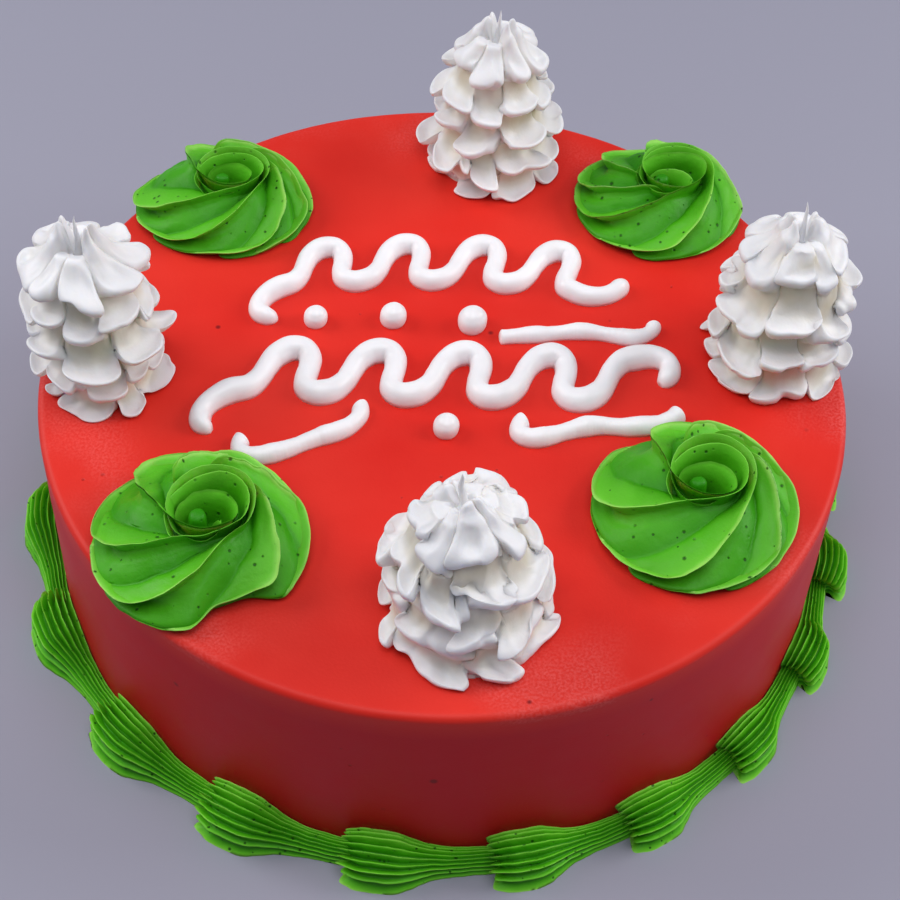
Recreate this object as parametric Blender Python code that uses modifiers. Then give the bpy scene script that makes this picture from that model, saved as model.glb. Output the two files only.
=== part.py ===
"""Round cake with red icing: four green cream rosettes, four white cream towers, white piped waves and drops on
the top, and a green ridged shell border round the foot. Metres, +Z up, origin at the middle of the underside."""

import math
from collections import namedtuple

import bmesh
import bpy
from mathutils import Vector

# The cake: straight sides and a tight, slightly rounded top edge
CAKE_RADIUS = 0.107
CAKE_HEIGHT = 0.065
TOP_EDGE_ROUND = 0.0020
FOOT_EDGE_ROUND = 0.0008
CAKE_STEPS = 72
TOP_EDGE_STEPS = 3
GAP = 0.0003
DECK = CAKE_HEIGHT + GAP

# Rosettes: middle, half width and depth, height, shift of the inner walls as shares of the half width and depth,
# angle of the first arm, side on which the arms bunch
Rosette = namedtuple("Rosette", "name x y half_width half_depth height shift_x shift_y first bunch_side")
ROSETTES = (
    Rosette("back_left", -0.0648, 0.0604, 0.0266, 0.0222, 0.0160, 0.10, 0.16, 100, -10),
    Rosette("back_right", 0.0594, 0.0680, 0.0254, 0.0234, 0.0160, 0.22, 0.16, 130, 0),
    Rosette("front_left", -0.0583, -0.0600, 0.0284, 0.0284, 0.0175, 0.06, 0.20, 75, 20),
    Rosette("front_right", 0.0640, -0.0430, 0.0274, 0.0276, 0.0175, 0.16, 0.16, 92, 0),
)
ROSETTE_ARMS = 7
ROSETTE_BUNCH = 0.42
ROSETTE_LEAN = 0.10
ROSETTE_NOTCH = 0.10
ROSETTE_FOOT = 0.80
ROSETTE_UNEVEN = 0.12
ROSETTE_ACROSS_ARM = (0.0, 0.15, 0.48, 0.82)
ROSETTE_MIDDLE_OF_ARM = 0.48
ROSETTE_RIM = ((0.0, 1.0), (0.15, 0.02), (0.48, 0.0), (0.82, 0.42), (1.0, 1.0))
ROSETTE_ROWS = (0.07, 0.13, 0.19, 0.25, 0.31, 0.38, 0.46, 0.56, 0.67, 0.78, 0.89, 1.0)
ROSETTE_TURN = ((0.0, 0.0), (0.12, 0.17), (0.46, 0.74), (1.0, 1.06))
ROSETTE_RADIUS = ((0.0, 0.0), (0.07, 0.14), (0.31, 0.32), (0.62, 0.65), (1.0, 0.94))
ROSETTE_FLOOR = ((0.0, 0.10), (0.13, 0.14), (0.31, 0.34), (0.46, 0.54), (0.70, 0.44), (0.88, 0.26), (1.0, 0.10))
ROSETTE_WALL = ((0.0, 0.0), (0.07, 0.16), (0.13, 0.56), (0.31, 0.56), (0.46, 0.44), (0.70, 0.36), (1.0, 0.24))
ROSETTE_SHORT_ARM = ((0.0, 0.0), (0.28, 0.0), (0.50, 1.0), (1.0, 1.0))
ROSETTE_SHIFT = ((0.0, 0.55), (0.15, 0.75), (0.36, 1.0), (0.60, 0.45), (1.0, 0.0))

# Towers: middle, radius, height, lean of the tip, angle of the first crease, spread of the foot
Tower = namedtuple("Tower", "name x y radius height lean_x lean_y first spread")
TOWERS = (
    Tower("left", -0.0892, -0.0038, 0.0175, 0.0565, -0.0028, 0.0010, 70, 0.0),
    Tower("back", 0.0112, 0.0864, 0.0182, 0.0535, 0.0000, 0.0010, 98, 0.06),
    Tower("right", 0.0882, 0.0122, 0.0186, 0.0560, 0.0010, 0.0010, 62, 0.04),
    Tower("front", 0.0078, -0.0785, 0.0203, 0.0520, -0.0020, 0.0020, 81, 0.12),
)
TOWER_COLUMNS = 8
TOWER_LAYERS = 5
TOWER_CREASE = 0.12
TOWER_LIP = 0.17
TOWER_DROOP = 0.0036
TOWER_STAGGER = 0.40
TOWER_UNEVEN = 0.30
TOWER_PETAL_BLUNT = 0.4
TOWER_SHOULDER = 0.88
TOWER_FOOT = 0.9
TOWER_CROWN_UNEVEN = 0.5
TOWER_CROWN = ((0.045, 0.0, 0.86, 0.0), (0.090, 0.0, 0.78, 0.0), (0.25, 0.08, 0.82, 0.12))
TOWER_ACROSS_COLUMN = (0.0, 0.24, 0.76)
TOWER_SHARES = (0.0, 0.30, 0.62, 0.86)
TOWER_PUSH = ((0.0, -0.50), (0.30, 0.35), (0.62, 1.0), (0.86, 0.80), (1.0, -0.50))
TOWER_DROP = ((0.0, 0.0), (0.30, 0.20), (0.62, 0.80), (0.86, 1.25), (1.0, 0.0))
TOWER_OUTLINE = ((0.0, 0.36), (0.12, 0.60), (0.28, 0.80), (0.50, 0.93), (0.72, 0.97), (0.88, 0.90), (1.0, 0.78))
TOWER_LEVEL = ((0.0, 0.0), (0.20, 0.27), (0.40, 0.49), (0.60, 0.68), (0.80, 0.85), (1.0, 1.0))

# Border shells: each starts as a wide ribbed head that laps over the tail before it, and tapers to a thin tail
SHELL_COUNT = 20
SHELL_FIRST_ANGLE = -158.3
SHELL_SWAY = 7.0
SHELL_SWAY_PHASE = -8.0
SHELL_HEAD_WIDTH = 0.0120
SHELL_TAIL_WIDTH = 0.0064
SHELL_HEAD_HEIGHT = 0.0136
SHELL_TAIL_HEIGHT = 0.0058
SHELL_OFF_SIDE = 0.0004
SHELL_RIDGES = 4
SHELL_ARCH = 0.72
SHELL_FULL = 0.8
SHELL_LAP_SPREAD = 1.6
SHELL_GROOVE = 0.14
SHELL_ROWS = (0.0, 0.05, 0.13, 0.24, 0.38, 0.55, 1.0)
SHELL_SWELL = ((0.0, 0.52), (0.05, 0.84), (0.13, 1.0), (0.24, 0.96), (0.38, 0.60), (0.55, 0.20), (1.0, 0.0))
SHELL_LAP_END = 0.22
SHELL_UNEVEN = 0.06
SHELL_LAP = 0.0020
SHELL_MOUTH = 1.16

# Piped lines: middle, tilt and arch in degrees, length, waves, swing of the waves in degrees, curl of the two ends
# in degrees, points along the middle and along each curl, width
Line = namedtuple("Line", "name x y tilt arch length waves swing first_curl last_curl count curl_count width")
LINES = (
    Line("wave_upper", -0.0030, 0.0400, 2, 20, 0.158, 4.0, 84, -170, 130, 44, 8, 0.0058),
    Line("wave_lower", -0.0020, -0.0005, 1, 0, 0.192, 4.5, 84, -150, -160, 50, 8, 0.0064),
    Line("flourish_upper", 0.0370, 0.0166, 1, 10, 0.026, 1.0, 8, 0, 110, 8, 5, 0.0046),
    Line("flourish_left", -0.0362, -0.0262, 20, 0, 0.016, 0.5, 16, 130, 110, 5, 7, 0.0050),
    Line("flourish_right", 0.0384, -0.0174, 12, 0, 0.026, 1.0, 14, 150, 50, 8, 6, 0.0052),
)
LINE_SLANT = 0.30
LINE_BEAD_RISE = 0.74
LINE_BEAD_FULL = 0.8
LINE_BEAD_STEPS = 4
LINE_SWELL = 0.12
LINE_CURL_STEP = 0.66
LINE_CURL_TIGHTEN = 0.25

# Piped drops: middle and radius
Drop = namedtuple("Drop", "name x y radius")
DROPS = (
    Drop("1", -0.0145, 0.0195, 0.0036),
    Drop("2", 0.0070, 0.0188, 0.0040),
    Drop("3", -0.0355, 0.0180, 0.0032),
    Drop("4", 0.0010, -0.0190, 0.0034),
)
DROP_RISE = 0.85
DROP_STEPS = 9
DROP_OUTLINE = ((0.0, 1.0), (0.55, 0.86), (0.92, 0.55), (1.0, 0.25), (0.80, 0.0), (0.0, 0.0))


def along(stations, value):
    """Value read between (place, value) stations by straight steps."""
    for (a, first), (b, second) in zip(stations, stations[1:]):
        if value <= b:
            return first + (second - first) * (value - a) / (b - a)
    return stations[-1][1]


def uneven(first, second):
    """Steady draw between -1 and 1 for a place in a pattern."""
    return math.sin(12.99 * first + 78.23 * second + 1.7)


def material(name, colour, roughness):
    """Cream or icing finish."""
    made = bpy.data.materials.new(name)
    made.use_nodes = True
    shader = made.node_tree.nodes["Principled BSDF"]
    shader.inputs["Base Color"].default_value = (*colour, 1.0)
    shader.inputs["Roughness"].default_value = roughness
    shader.inputs["Metallic"].default_value = 0.0
    return made


def add_object(name, data, finish, collection):
    """New object of a mesh or curve in its finish."""
    made = bpy.data.objects.new(name, data)
    data.materials.append(finish)
    collection.objects.link(made)
    return made


def loft(name, rings, poles, finish, collection):
    """Closed skin through rings of equal length; each end is a fan to a pole, or one flat face where it is None."""
    shape = bmesh.new()
    rows = [[shape.verts.new(point) for point in ring] for ring in rings]
    count = len(rings[0])
    for inner, outer in zip(rows, rows[1:]):
        for i in range(count):
            j = (i + 1) % count
            shape.faces.new((inner[i], outer[i], outer[j], inner[j]))
    for row, pole in ((rows[0], poles[0]), (rows[-1][::-1], poles[1])):
        if pole is None:
            shape.faces.new(row)
            continue
        tip = shape.verts.new(pole)
        for i in range(count):
            shape.faces.new((tip, row[i], row[(i + 1) % count]))
    if shape.calc_volume(signed=True) < 0.0:
        bmesh.ops.reverse_faces(shape, faces=shape.faces)
    mesh = bpy.data.meshes.new(name)
    shape.to_mesh(mesh)
    shape.free()
    mesh.shade_smooth()
    mesh.set_sharp_from_angle(angle=math.radians(50))
    return add_object(name, mesh, finish, collection)


def turned(name, profile, steps, place, finish, collection):
    """Solid of revolution: a profile from the axis at the top to the axis at the foot."""
    mesh = bpy.data.meshes.new(name)
    edges = [(i, i + 1) for i in range(len(profile) - 1)]
    mesh.from_pydata([(r, 0.0, z) for r, z in profile], edges, [])
    made = add_object(name, mesh, finish, collection)
    made.location = place
    screw = made.modifiers.new("Turn", "SCREW")
    screw.axis = "Z"
    screw.steps = steps
    screw.render_steps = steps
    screw.use_merge_vertices = True
    screw.merge_threshold = 0.00001
    screw.use_smooth_shade = True
    return made


def build_cake(finish, collection):
    """Body of the cake with its rounded top edge."""
    arc = [math.radians(90 - 90 * i / TOP_EDGE_STEPS) for i in range(TOP_EDGE_STEPS + 1)]
    centre = (CAKE_RADIUS - TOP_EDGE_ROUND, CAKE_HEIGHT - TOP_EDGE_ROUND)
    edge = [(centre[0] + TOP_EDGE_ROUND * math.cos(a), centre[1] + TOP_EDGE_ROUND * math.sin(a)) for a in arc]
    foot = [(CAKE_RADIUS, FOOT_EDGE_ROUND), (CAKE_RADIUS - FOOT_EDGE_ROUND, 0.0)]
    profile = [(0.0, CAKE_HEIGHT), *edge, *foot, (0.0, 0.0)]
    return turned("cake_body", profile, CAKE_STEPS, (0.0, 0.0, 0.0), finish, collection)


def arm_strength(arm, row):
    """How far an arm's rim stands up: every other arm dies out before it reaches the inner walls."""
    return along(ROSETTE_SHORT_ARM, row) if arm % 2 else 1.0


def rosette_ring(rosette, row):
    """One ring of a rosette, a point at each place across each arm."""
    radius = along(ROSETTE_RADIUS, row)
    floor = along(ROSETTE_FLOOR, row)
    wall = along(ROSETTE_WALL, row)
    shift = along(ROSETTE_SHIFT, row)
    turn = 360 * along(ROSETTE_TURN, row)
    ring = []
    for arm in range(ROSETTE_ARMS):
        for across in ROSETTE_ACROSS_ARM:
            nearest = arm if across < ROSETTE_MIDDLE_OF_ARM else (arm + 1) % ROSETTE_ARMS
            rim = along(ROSETTE_RIM, across) * arm_strength(nearest, row)
            angle = math.radians(rosette.first + 360 * (arm + across) / ROSETTE_ARMS - turn)
            angle -= ROSETTE_BUNCH * math.sin(angle - math.radians(rosette.bunch_side)) * row
            notch = ROSETTE_NOTCH * row ** 3 * (across == ROSETTE_ACROSS_ARM[1])
            reach = radius * (1.0 - notch) + ROSETTE_LEAN * wall * rim
            rise = floor + wall * rim * (1.0 + ROSETTE_UNEVEN * uneven(arm, 3))
            ring.append(Vector((
                rosette.x + rosette.half_width * (rosette.shift_x * shift + reach * math.cos(angle)),
                rosette.y + rosette.half_depth * (rosette.shift_y * shift + reach * math.sin(angle)),
                DECK + rosette.height * rise,
            )))
    return ring


def build_rosette(rosette, finish, collection):
    """Rose-like swirl: broad spiral petals with thin leaning rims, and nested walls round a deep eye."""
    rings = [rosette_ring(rosette, row) for row in ROSETTE_ROWS]
    middle = Vector((rosette.x, rosette.y, DECK))
    foot = [middle + Vector((p.x - middle.x, p.y - middle.y, 0.0)) * ROSETTE_FOOT for p in rings[-1]]
    shift = along(ROSETTE_SHIFT, 0.0)
    eye = middle + Vector((
        rosette.half_width * rosette.shift_x * shift,
        rosette.half_depth * rosette.shift_y * shift,
        rosette.height * along(ROSETTE_FLOOR, 0.0),
    ))
    return loft("rosette_" + rosette.name, [*rings, foot], (eye, middle), finish, collection)


def petal_lobe(across):
    """Bulge of a petal between the creases at its two sides."""
    return math.sin(math.pi * across) ** TOWER_PETAL_BLUNT if across > 0.0 else 0.0


def tower_point(tower, column, across, layer, share):
    """A point on a tower's skin, at a share of one layer of petals and at a place across a column."""
    lobe = petal_lobe(across)
    size = 1.0 + TOWER_UNEVEN * uneven(column + tower.first, layer)
    stagger = TOWER_STAGGER * (0.5 if column % 2 else -0.5) * lobe
    place = layer + share + stagger * math.sin(math.pi * (layer + share) / TOWER_LAYERS)
    down = along(TOWER_LEVEL, min(1.0, max(0.0, place / TOWER_LAYERS)))
    reach = along(TOWER_OUTLINE, down) * (1.0 + tower.spread * (2 * down - 1.0))
    reach *= 1.0 - TOWER_CREASE * (1.0 - lobe) + TOWER_LIP * size * along(TOWER_PUSH, share) * lobe
    rise = TOWER_SHOULDER * (1.0 - down) * tower.height - TOWER_DROOP * size * along(TOWER_DROP, share) * lobe
    angle = math.radians(tower.first + 360 * (column + across) / TOWER_COLUMNS)
    tilt = rise / tower.height
    return Vector((
        tower.x + tower.lean_x * tilt + tower.radius * reach * math.cos(angle),
        tower.y + tower.lean_y * tilt + tower.radius * reach * math.sin(angle),
        DECK + max(0.0, rise),
    ))


def tower_crown(tower, reach, dip, rise, peak):
    """A ring round the tip of a tower: its radius, what a crease takes off it, its height and its petals' rise."""
    ring = []
    for column in range(TOWER_COLUMNS):
        taller = peak * (1.0 + TOWER_CROWN_UNEVEN * uneven(column + tower.first, 9))
        for across in TOWER_ACROSS_COLUMN:
            lobe = petal_lobe(across)
            angle = math.radians(tower.first + 360 * (column + across) / TOWER_COLUMNS)
            out = tower.radius * (reach - dip * (1.0 - lobe))
            ring.append(Vector((
                tower.x + tower.lean_x + out * math.cos(angle),
                tower.y + tower.lean_y + out * math.sin(angle),
                DECK + tower.height * (rise + taller * lobe),
            )))
    return ring


def build_tower(tower, finish, collection):
    """Stack of pressed star shapes: columns of drooping petals under a crown of points round a thin spike."""
    rings = [tower_crown(tower, *crown) for crown in TOWER_CROWN]
    for layer in range(TOWER_LAYERS):
        for share in TOWER_SHARES[1 if layer == 0 else 0:]:
            rings.append([
                tower_point(tower, column, across, layer, share)
                for column in range(TOWER_COLUMNS)
                for across in TOWER_ACROSS_COLUMN
            ])
    middle = Vector((tower.x, tower.y, DECK))
    foot = [middle + Vector((p.x - middle.x, p.y - middle.y, 0.0)) * TOWER_FOOT for p in rings[-1]]
    tip = middle + Vector((tower.lean_x, tower.lean_y, tower.height))
    return loft("tower_" + tower.name, [*rings, foot], (tip, middle), finish, collection)


def shell_start(number):
    """Angle where a border shell starts, with the hand's slow sway in spacing."""
    even = 360.0 * number / SHELL_COUNT
    sway = SHELL_SWAY * math.sin(math.radians(even + SHELL_SWAY_PHASE))
    return math.radians(SHELL_FIRST_ANGLE + even + sway)


def shell_section(width, height):
    """Arch of ridges from the outer foot over the top to the side of the cake, closed straight down that side."""
    steps = 2 * SHELL_RIDGES
    last = math.pi * SHELL_ARCH
    points = []
    for i in range(steps + 1):
        turn = last * i / steps
        depth = SHELL_GROOVE if 0 < i < steps and i % 2 == 0 else 0.0
        out = width * (math.cos(turn) * (1.0 - depth) - math.cos(last)) / (1.0 - math.cos(last))
        up = height * (1.0 - depth) * math.sin(turn) ** SHELL_FULL
        points.append((CAKE_RADIUS + SHELL_OFF_SIDE + out, up))
    return [*points, (CAKE_RADIUS + SHELL_OFF_SIDE, 0.0)]


def shell_ring(section, angles):
    """Section of a shell set upright at an angle round the cake, or one angle for each of its points."""
    return [Vector((out * math.cos(a), out * math.sin(a), up)) for (out, up), a in zip(section, angles)]


def build_shell(number, finish, collection):
    """One shell of the border: its head laps over the end of the tail before it."""
    start, end = shell_start(number), shell_start(number + 1) - GAP / CAKE_RADIUS
    size = 1.0 + SHELL_UNEVEN * uneven(number, 0)
    mouth = shell_section(SHELL_TAIL_WIDTH * SHELL_MOUTH, SHELL_TAIL_HEIGHT * SHELL_MOUTH)
    rings = [shell_ring(mouth, [start] * len(mouth))]
    for row in SHELL_ROWS:
        swell = along(SHELL_SWELL, row)
        width = SHELL_TAIL_WIDTH + (SHELL_HEAD_WIDTH * size - SHELL_TAIL_WIDTH) * swell
        height = SHELL_TAIL_HEIGHT + (SHELL_HEAD_HEIGHT * size - SHELL_TAIL_HEIGHT) * swell
        section = shell_section(width, height)
        back = SHELL_LAP / CAKE_RADIUS * max(0.0, 1.0 - row / SHELL_LAP_END)
        laps = []
        for (out, up), (inner_out, inner_up) in zip(section, mouth):
            clear = math.hypot(out - inner_out, up - inner_up) / (SHELL_HEAD_WIDTH - SHELL_TAIL_WIDTH)
            laps.append(start + (end - start) * row - back * min(1.0, SHELL_LAP_SPREAD * clear))
        rings.append(shell_ring(section, laps))
    return loft(f"border_shell_{number + 1:02d}", rings, (None, None), finish, collection)


def bead_profile(guides):
    """Section of a piped line of width 2: a low dome on a flat foot."""
    outline = bpy.data.curves.new("bead_section", "CURVE")
    outline.dimensions = "2D"
    spline = outline.splines.new("POLY")
    turns = [math.pi * (1.0 - i / LINE_BEAD_STEPS) for i in range(LINE_BEAD_STEPS + 1)]
    spline.points.add(len(turns) - 1)
    for point, turn in zip(spline.points, turns):
        point.co = (math.cos(turn), 2 * LINE_BEAD_RISE * max(0.0, math.sin(turn)) ** LINE_BEAD_FULL, 0.0, 1.0)
    spline.use_cyclic_u = True
    made = bpy.data.objects.new("bead_section", outline)
    made.hide_render = True
    made.display_type = "WIRE"
    guides.objects.link(made)
    return made


def line_points(line):
    """Points of a piped line: a swinging, arched middle with an ever tighter curl at each end."""
    step = line.length / line.count
    headings = []
    for i in range(line.count):
        share = (i + 0.5) / line.count
        wave = line.swing * math.sin(2 * math.pi * line.waves * share)
        headings.append(math.radians(line.tilt + line.arch * (0.5 - share) + wave))
    first, last = headings[0], headings[-1]
    for i in range(line.curl_count):
        tighter = (0.5 + (i + 0.5) / line.curl_count) / line.curl_count
        first -= math.radians(line.first_curl) * tighter
        last += math.radians(line.last_curl) * tighter
        headings.insert(0, first)
        headings.append(last)
    here = Vector((0.0, 0.0))
    points = [here]
    for i, heading in enumerate(headings):
        past = max(0, line.curl_count - i, i - line.curl_count - line.count + 1) / line.curl_count
        stride = step * LINE_CURL_STEP * (1.0 - LINE_CURL_TIGHTEN * past) if past > 0 else step
        here = here + stride * Vector((math.cos(heading), math.sin(heading)))
        points.append(here)
    middle = points[line.curl_count:line.curl_count + line.count + 1]
    centre = sum(middle, Vector((0.0, 0.0))) / len(middle)
    place = Vector((line.x, line.y))
    return [place + Vector((p.x - centre.x + LINE_SLANT * (p.y - centre.y), p.y - centre.y)) for p in points]


def build_line(line, section, finish, collection):
    """Piped line with a rounded top, a little thicker where the hand slows at each bend."""
    curve = bpy.data.curves.new(line.name, "CURVE")
    curve.dimensions = "3D"
    curve.twist_mode = "Z_UP"
    curve.bevel_mode = "OBJECT"
    curve.bevel_object = section
    curve.use_fill_caps = True
    points = line_points(line)
    spline = curve.splines.new("POLY")
    spline.points.add(len(points) - 1)
    for i, (point, place) in enumerate(zip(spline.points, points)):
        share = (i - line.curl_count) / line.count
        point.co = (place.x, place.y, DECK, 1.0)
        point.radius = line.width / 2 * (1.0 + LINE_SWELL * math.cos(4 * math.pi * line.waves * share))
    return add_object(line.name, curve, finish, collection)


def build_drop(drop, finish, collection):
    """Small piped drop with a rounded top."""
    tall = 2 * DROP_RISE * drop.radius
    profile = [(drop.radius * out, tall * up) for out, up in DROP_OUTLINE]
    return turned("drop_" + drop.name, profile, DROP_STEPS, (drop.x, drop.y, DECK), finish, collection)


def main():
    for old in list(bpy.data.objects):
        bpy.data.objects.remove(old, do_unlink=True)
    cake = bpy.data.collections.new("christmas_cake")
    guides = bpy.data.collections.new("guides")
    bpy.context.scene.collection.children.link(cake)
    bpy.context.scene.collection.children.link(guides)

    red_icing = material("red_icing", (0.78, 0.045, 0.025), 0.45)
    green_cream = material("green_cream", (0.11, 0.42, 0.02), 0.5)
    green_border = material("green_border", (0.08, 0.34, 0.01), 0.5)
    white_cream = material("white_cream", (0.86, 0.84, 0.82), 0.5)
    white_piping = material("white_piping", (0.88, 0.86, 0.87), 0.4)

    build_cake(red_icing, cake)
    for rosette in ROSETTES:
        build_rosette(rosette, green_cream, cake)
    for tower in TOWERS:
        build_tower(tower, white_cream, cake)
    for number in range(SHELL_COUNT):
        build_shell(number, green_border, cake)
    section = bead_profile(guides)
    for line in LINES:
        build_line(line, section, white_piping, cake)
    for drop in DROPS:
        build_drop(drop, white_piping, cake)


main()
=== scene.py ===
"""Looks of the round iced cake: its icing, cream rosettes, cream towers, shell border and white piping."""
import math
from collections import namedtuple

import bpy
import numpy as np
from mathutils import Matrix, Vector


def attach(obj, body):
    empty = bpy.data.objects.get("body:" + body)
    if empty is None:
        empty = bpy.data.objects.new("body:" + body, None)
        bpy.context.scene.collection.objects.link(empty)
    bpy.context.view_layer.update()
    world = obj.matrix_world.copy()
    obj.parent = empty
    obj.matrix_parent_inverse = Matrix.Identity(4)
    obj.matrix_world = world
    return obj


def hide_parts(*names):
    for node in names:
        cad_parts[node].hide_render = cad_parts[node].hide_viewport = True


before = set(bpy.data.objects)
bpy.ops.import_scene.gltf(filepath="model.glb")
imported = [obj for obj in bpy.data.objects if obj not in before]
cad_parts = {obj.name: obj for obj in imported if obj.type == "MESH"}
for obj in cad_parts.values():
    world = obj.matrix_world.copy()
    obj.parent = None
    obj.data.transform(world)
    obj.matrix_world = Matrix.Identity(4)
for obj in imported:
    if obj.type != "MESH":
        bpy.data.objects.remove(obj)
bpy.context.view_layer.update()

TURN = 2 * math.pi
NUDGE = 0.00001  # keeps a place on a column's edge from falling into the column before
WELD = 0.000002
DRAW_STEPS = (12.99, 78.23)
DRAW_START = 1.7
LAYER_SEED_STEP = 5.0

# Each form bends a sheet of columns and rows. ..._SHEET counts them, and ..._ROWS gives the shares of the rows where
# one part of the form ends and the next starts. ..._ROUGH lists layers of noise that push the skin about, each with
# its scale and its reach. A curve is a row of (place, value) stations.

# The cake: its rows end the top, the top's edge, the side and the foot's edge
CAKE_RADIUS = 0.107
CAKE_HEIGHT = 0.065
CAKE_SEED = 2.0
TOP_EDGE_ROUND = 0.0020
FOOT_EDGE_ROUND = 0.0008
CREAM_SINK = 0.0002
DECK = CAKE_HEIGHT - CREAM_SINK
CAKE_SHEET = (480, 192)
CAKE_ROWS = (0.55, 0.61, 0.91, 0.94)
CAKE_WAVES = ((26.0, 0.00028), (150.0, 0.00007))
SWEEP_SCALE, SWEEP_STRETCH = 34.0, 3.2
BAND_SCALE, BAND_LENGTH, BAND_STEP = 3.0, 0.6, 30.0
# worn patches near the top's edge: paler, grainy icing that also carries painted sheen
WEAR_AND_SHEEN_SCALE, WEAR_AND_SHEEN_EDGE, WEAR_AND_SHEEN_PATCH = 22.0, (0.74, 0.98), (-0.10, 0.45)

# Rosettes: middle, half width and depth, height, shift of the inner walls, side of a dent in degrees and its depth, how
# ragged the rims are, and the places of the arms round the swirl in degrees, the ones that start outside the eye last
Rosette = namedtuple("Rosette", "name x y half_width half_depth height shift_x shift_y dent_side dent ragged seed arms")
ROSETTES = (
    Rosette("back_left", -0.0648, 0.0604, 0.0266, 0.0222, 0.0160, 0.10, 0.15, 150, 0.06, 0.7, 3.0,
            (190, 282, 335, 395, 435, 495)),
    Rosette("back_right", 0.0594, 0.0680, 0.0254, 0.0234, 0.0160, 0.15, 0.15, 100, 0.04, 0.6, 8.0,
            (295, 362, 437, 515, 575, 615)),
    Rosette("front_left", -0.0583, -0.0600, 0.0284, 0.0284, 0.0175, 0.09, 0.15, -62, 0.28, 2.1, 5.0,
            (208, 268, 322, 400, 465, 520)),
    Rosette("front_right", 0.0640, -0.0430, 0.0274, 0.0276, 0.0175, 0.12, 0.15, 112, 0.05, 0.9, 1.0,
            (188, 266, 342, 405, 455, 500)),
)
ROSETTE_ARMS = 6
ROSETTE_LONG_ARMS = 3
ROSETTE_SHEET = (432, 166)
ROSETTE_ROWS = (0.90, 0.96)
ROSETTE_ROUGH = ((75.0, 0.0009), (230.0, 0.00022))
ROSETTE_LEAN, ROSETTE_RIM_LEAN = 0.10, 0.07
ROSETTE_BROADEN = 0.10
ROSETTE_RIM_PLACE = 0.48
ROSETTE_NOTCH = 0.30
ROSETTE_FOOT = 0.80
ROSETTE_SKIRT_ROUND = 0.6
ROSETTE_UNEVEN = 0.12
ROSETTE_TEAR, ROSETTE_TEAR_SCALE, ROSETTE_TEAR_TURN = 0.20, 1.6, 0.06
ROSETTE_TEAR_STEP, ROSETTE_TEAR_LENGTH = 3.7, 7.0
ROSETTE_TUFT, ROSETTE_TUFT_SCALE = 0.30, 11.0
ROSETTE_TURN = ((0.0, -1.10), (0.16, -0.84), (0.22, -0.74), (0.36, -0.42), (0.48, 0.0), (0.54, 0.06), (0.66, 0.14),
                (0.78, 0.20), (0.88, 0.255), (1.0, 0.38))
ROSETTE_RADIUS = ((0.0, 0.0), (0.02, 0.050), (0.045, 0.084), (0.068, 0.095), (0.14, 0.12), (0.22, 0.15), (0.36, 0.24),
                  (0.48, 0.335), (0.54, 0.395), (0.66, 0.59), (0.78, 0.79), (0.88, 0.91), (1.0, 0.93))
ROSETTE_FLOOR = ((0.0, 0.80), (0.02, 0.78), (0.045, 0.64), (0.068, 0.12), (0.14, 0.08), (0.22, 0.20), (0.36, 0.42),
                 (0.48, 0.54), (0.54, 0.54), (0.66, 0.46), (0.78, 0.27), (0.88, 0.13), (1.0, 0.03))
ROSETTE_WALL = ((0.0, 0.0), (0.10, 0.0), (0.14, 0.25), (0.20, 0.56), (0.36, 0.46), (0.48, 0.40), (0.54, 0.38),
                (0.66, 0.32), (0.78, 0.28), (0.88, 0.22), (1.0, 0.12))
ROSETTE_SHORT_ARM = ((0.0, 0.0), (0.42, 0.0), (0.58, 1.0), (1.0, 1.0))
ROSETTE_SHIFT = ((0.0, 0.06), (0.068, 0.0), (0.14, -0.28), (0.22, -0.24), (0.36, 0.35), (0.48, 1.0), (0.56, 0.85),
                 (0.70, 0.35), (0.85, 0.0), (1.0, 0.0))
ROSETTE_THIN_RIM = ((0.0, 1.0), (0.06, 0.72), (0.14, 0.14), (0.24, 0.0), (0.60, 0.02), (0.84, 0.30), (0.95, 0.75),
                    (1.0, 1.0))
ROSETTE_BROAD_RIM = ((0.0, 1.0), (0.02, 0.80), (0.05, 0.60), (0.16, 0.42), (0.34, 0.18), (0.48, 0.03), (0.52, 0.0),
                     (0.57, 0.10), (0.66, 0.24), (0.82, 0.42), (0.93, 0.64), (0.975, 0.84), (1.0, 1.0))
ROSETTE_NOTCH_CURVE = ((0.0, 0.0), (0.05, 0.6), (0.12, 1.0), (0.26, 0.4), (0.44, 0.0), (1.0, 0.0))

# Towers: middle, radius, height, lean of the tip, first crease in degrees, spread of the foot, how soft it slumped,
# layers of petals
Tower = namedtuple("Tower", "name x y radius height lean_x lean_y first spread slump layers seed")
TOWERS = (
    Tower("left", -0.0892, -0.0038, 0.0164, 0.0565, -0.0028, 0.0010, 115, -0.06, 0.9, 5, 2.0),
    Tower("back", 0.0112, 0.0864, 0.0162, 0.0535, 0.0000, 0.0010, 98, 0.16, 0.9, 5, 7.0),
    Tower("right", 0.0882, 0.0122, 0.0168, 0.0560, 0.0010, 0.0010, 152, 0.10, 1.1, 4, 4.0),
    Tower("front", 0.0078, -0.0768, 0.0184, 0.0520, -0.0020, 0.0020, 81, 0.25, 1.3, 4, 6.0),
)
TOWER_COLUMNS = 8
TOWER_SHEET = (368, 224)
TOWER_PETAL_ROWS = (0.20, 0.94)
TOWER_CROWN_END = 0.22
TOWER_FOOT_END = 0.97
TOWER_ROUGH = ((60.0, 0.0018), (150.0, 0.0006))
TOWER_CREASE, TOWER_CREASE_ROUND = 0.26, 0.26
TOWER_SIDE, TOWER_SIDE_LEAST, TOWER_SIDE_ROUND = 0.82, 0.22, 0.7
TOWER_LIP = 0.25
TOWER_LIP_PUSH, TOWER_LIP_SINK = 1.5, 0.5
TOWER_DROOP, TOWER_MOST_DROOP = 0.0175, 0.7
TOWER_LEAST_LEVEL = 0.15
TOWER_STAGGER = 0.34
TOWER_TWIST = 0.10
TOWER_TILT = 1.4
TOWER_SWING = 0.16
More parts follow.
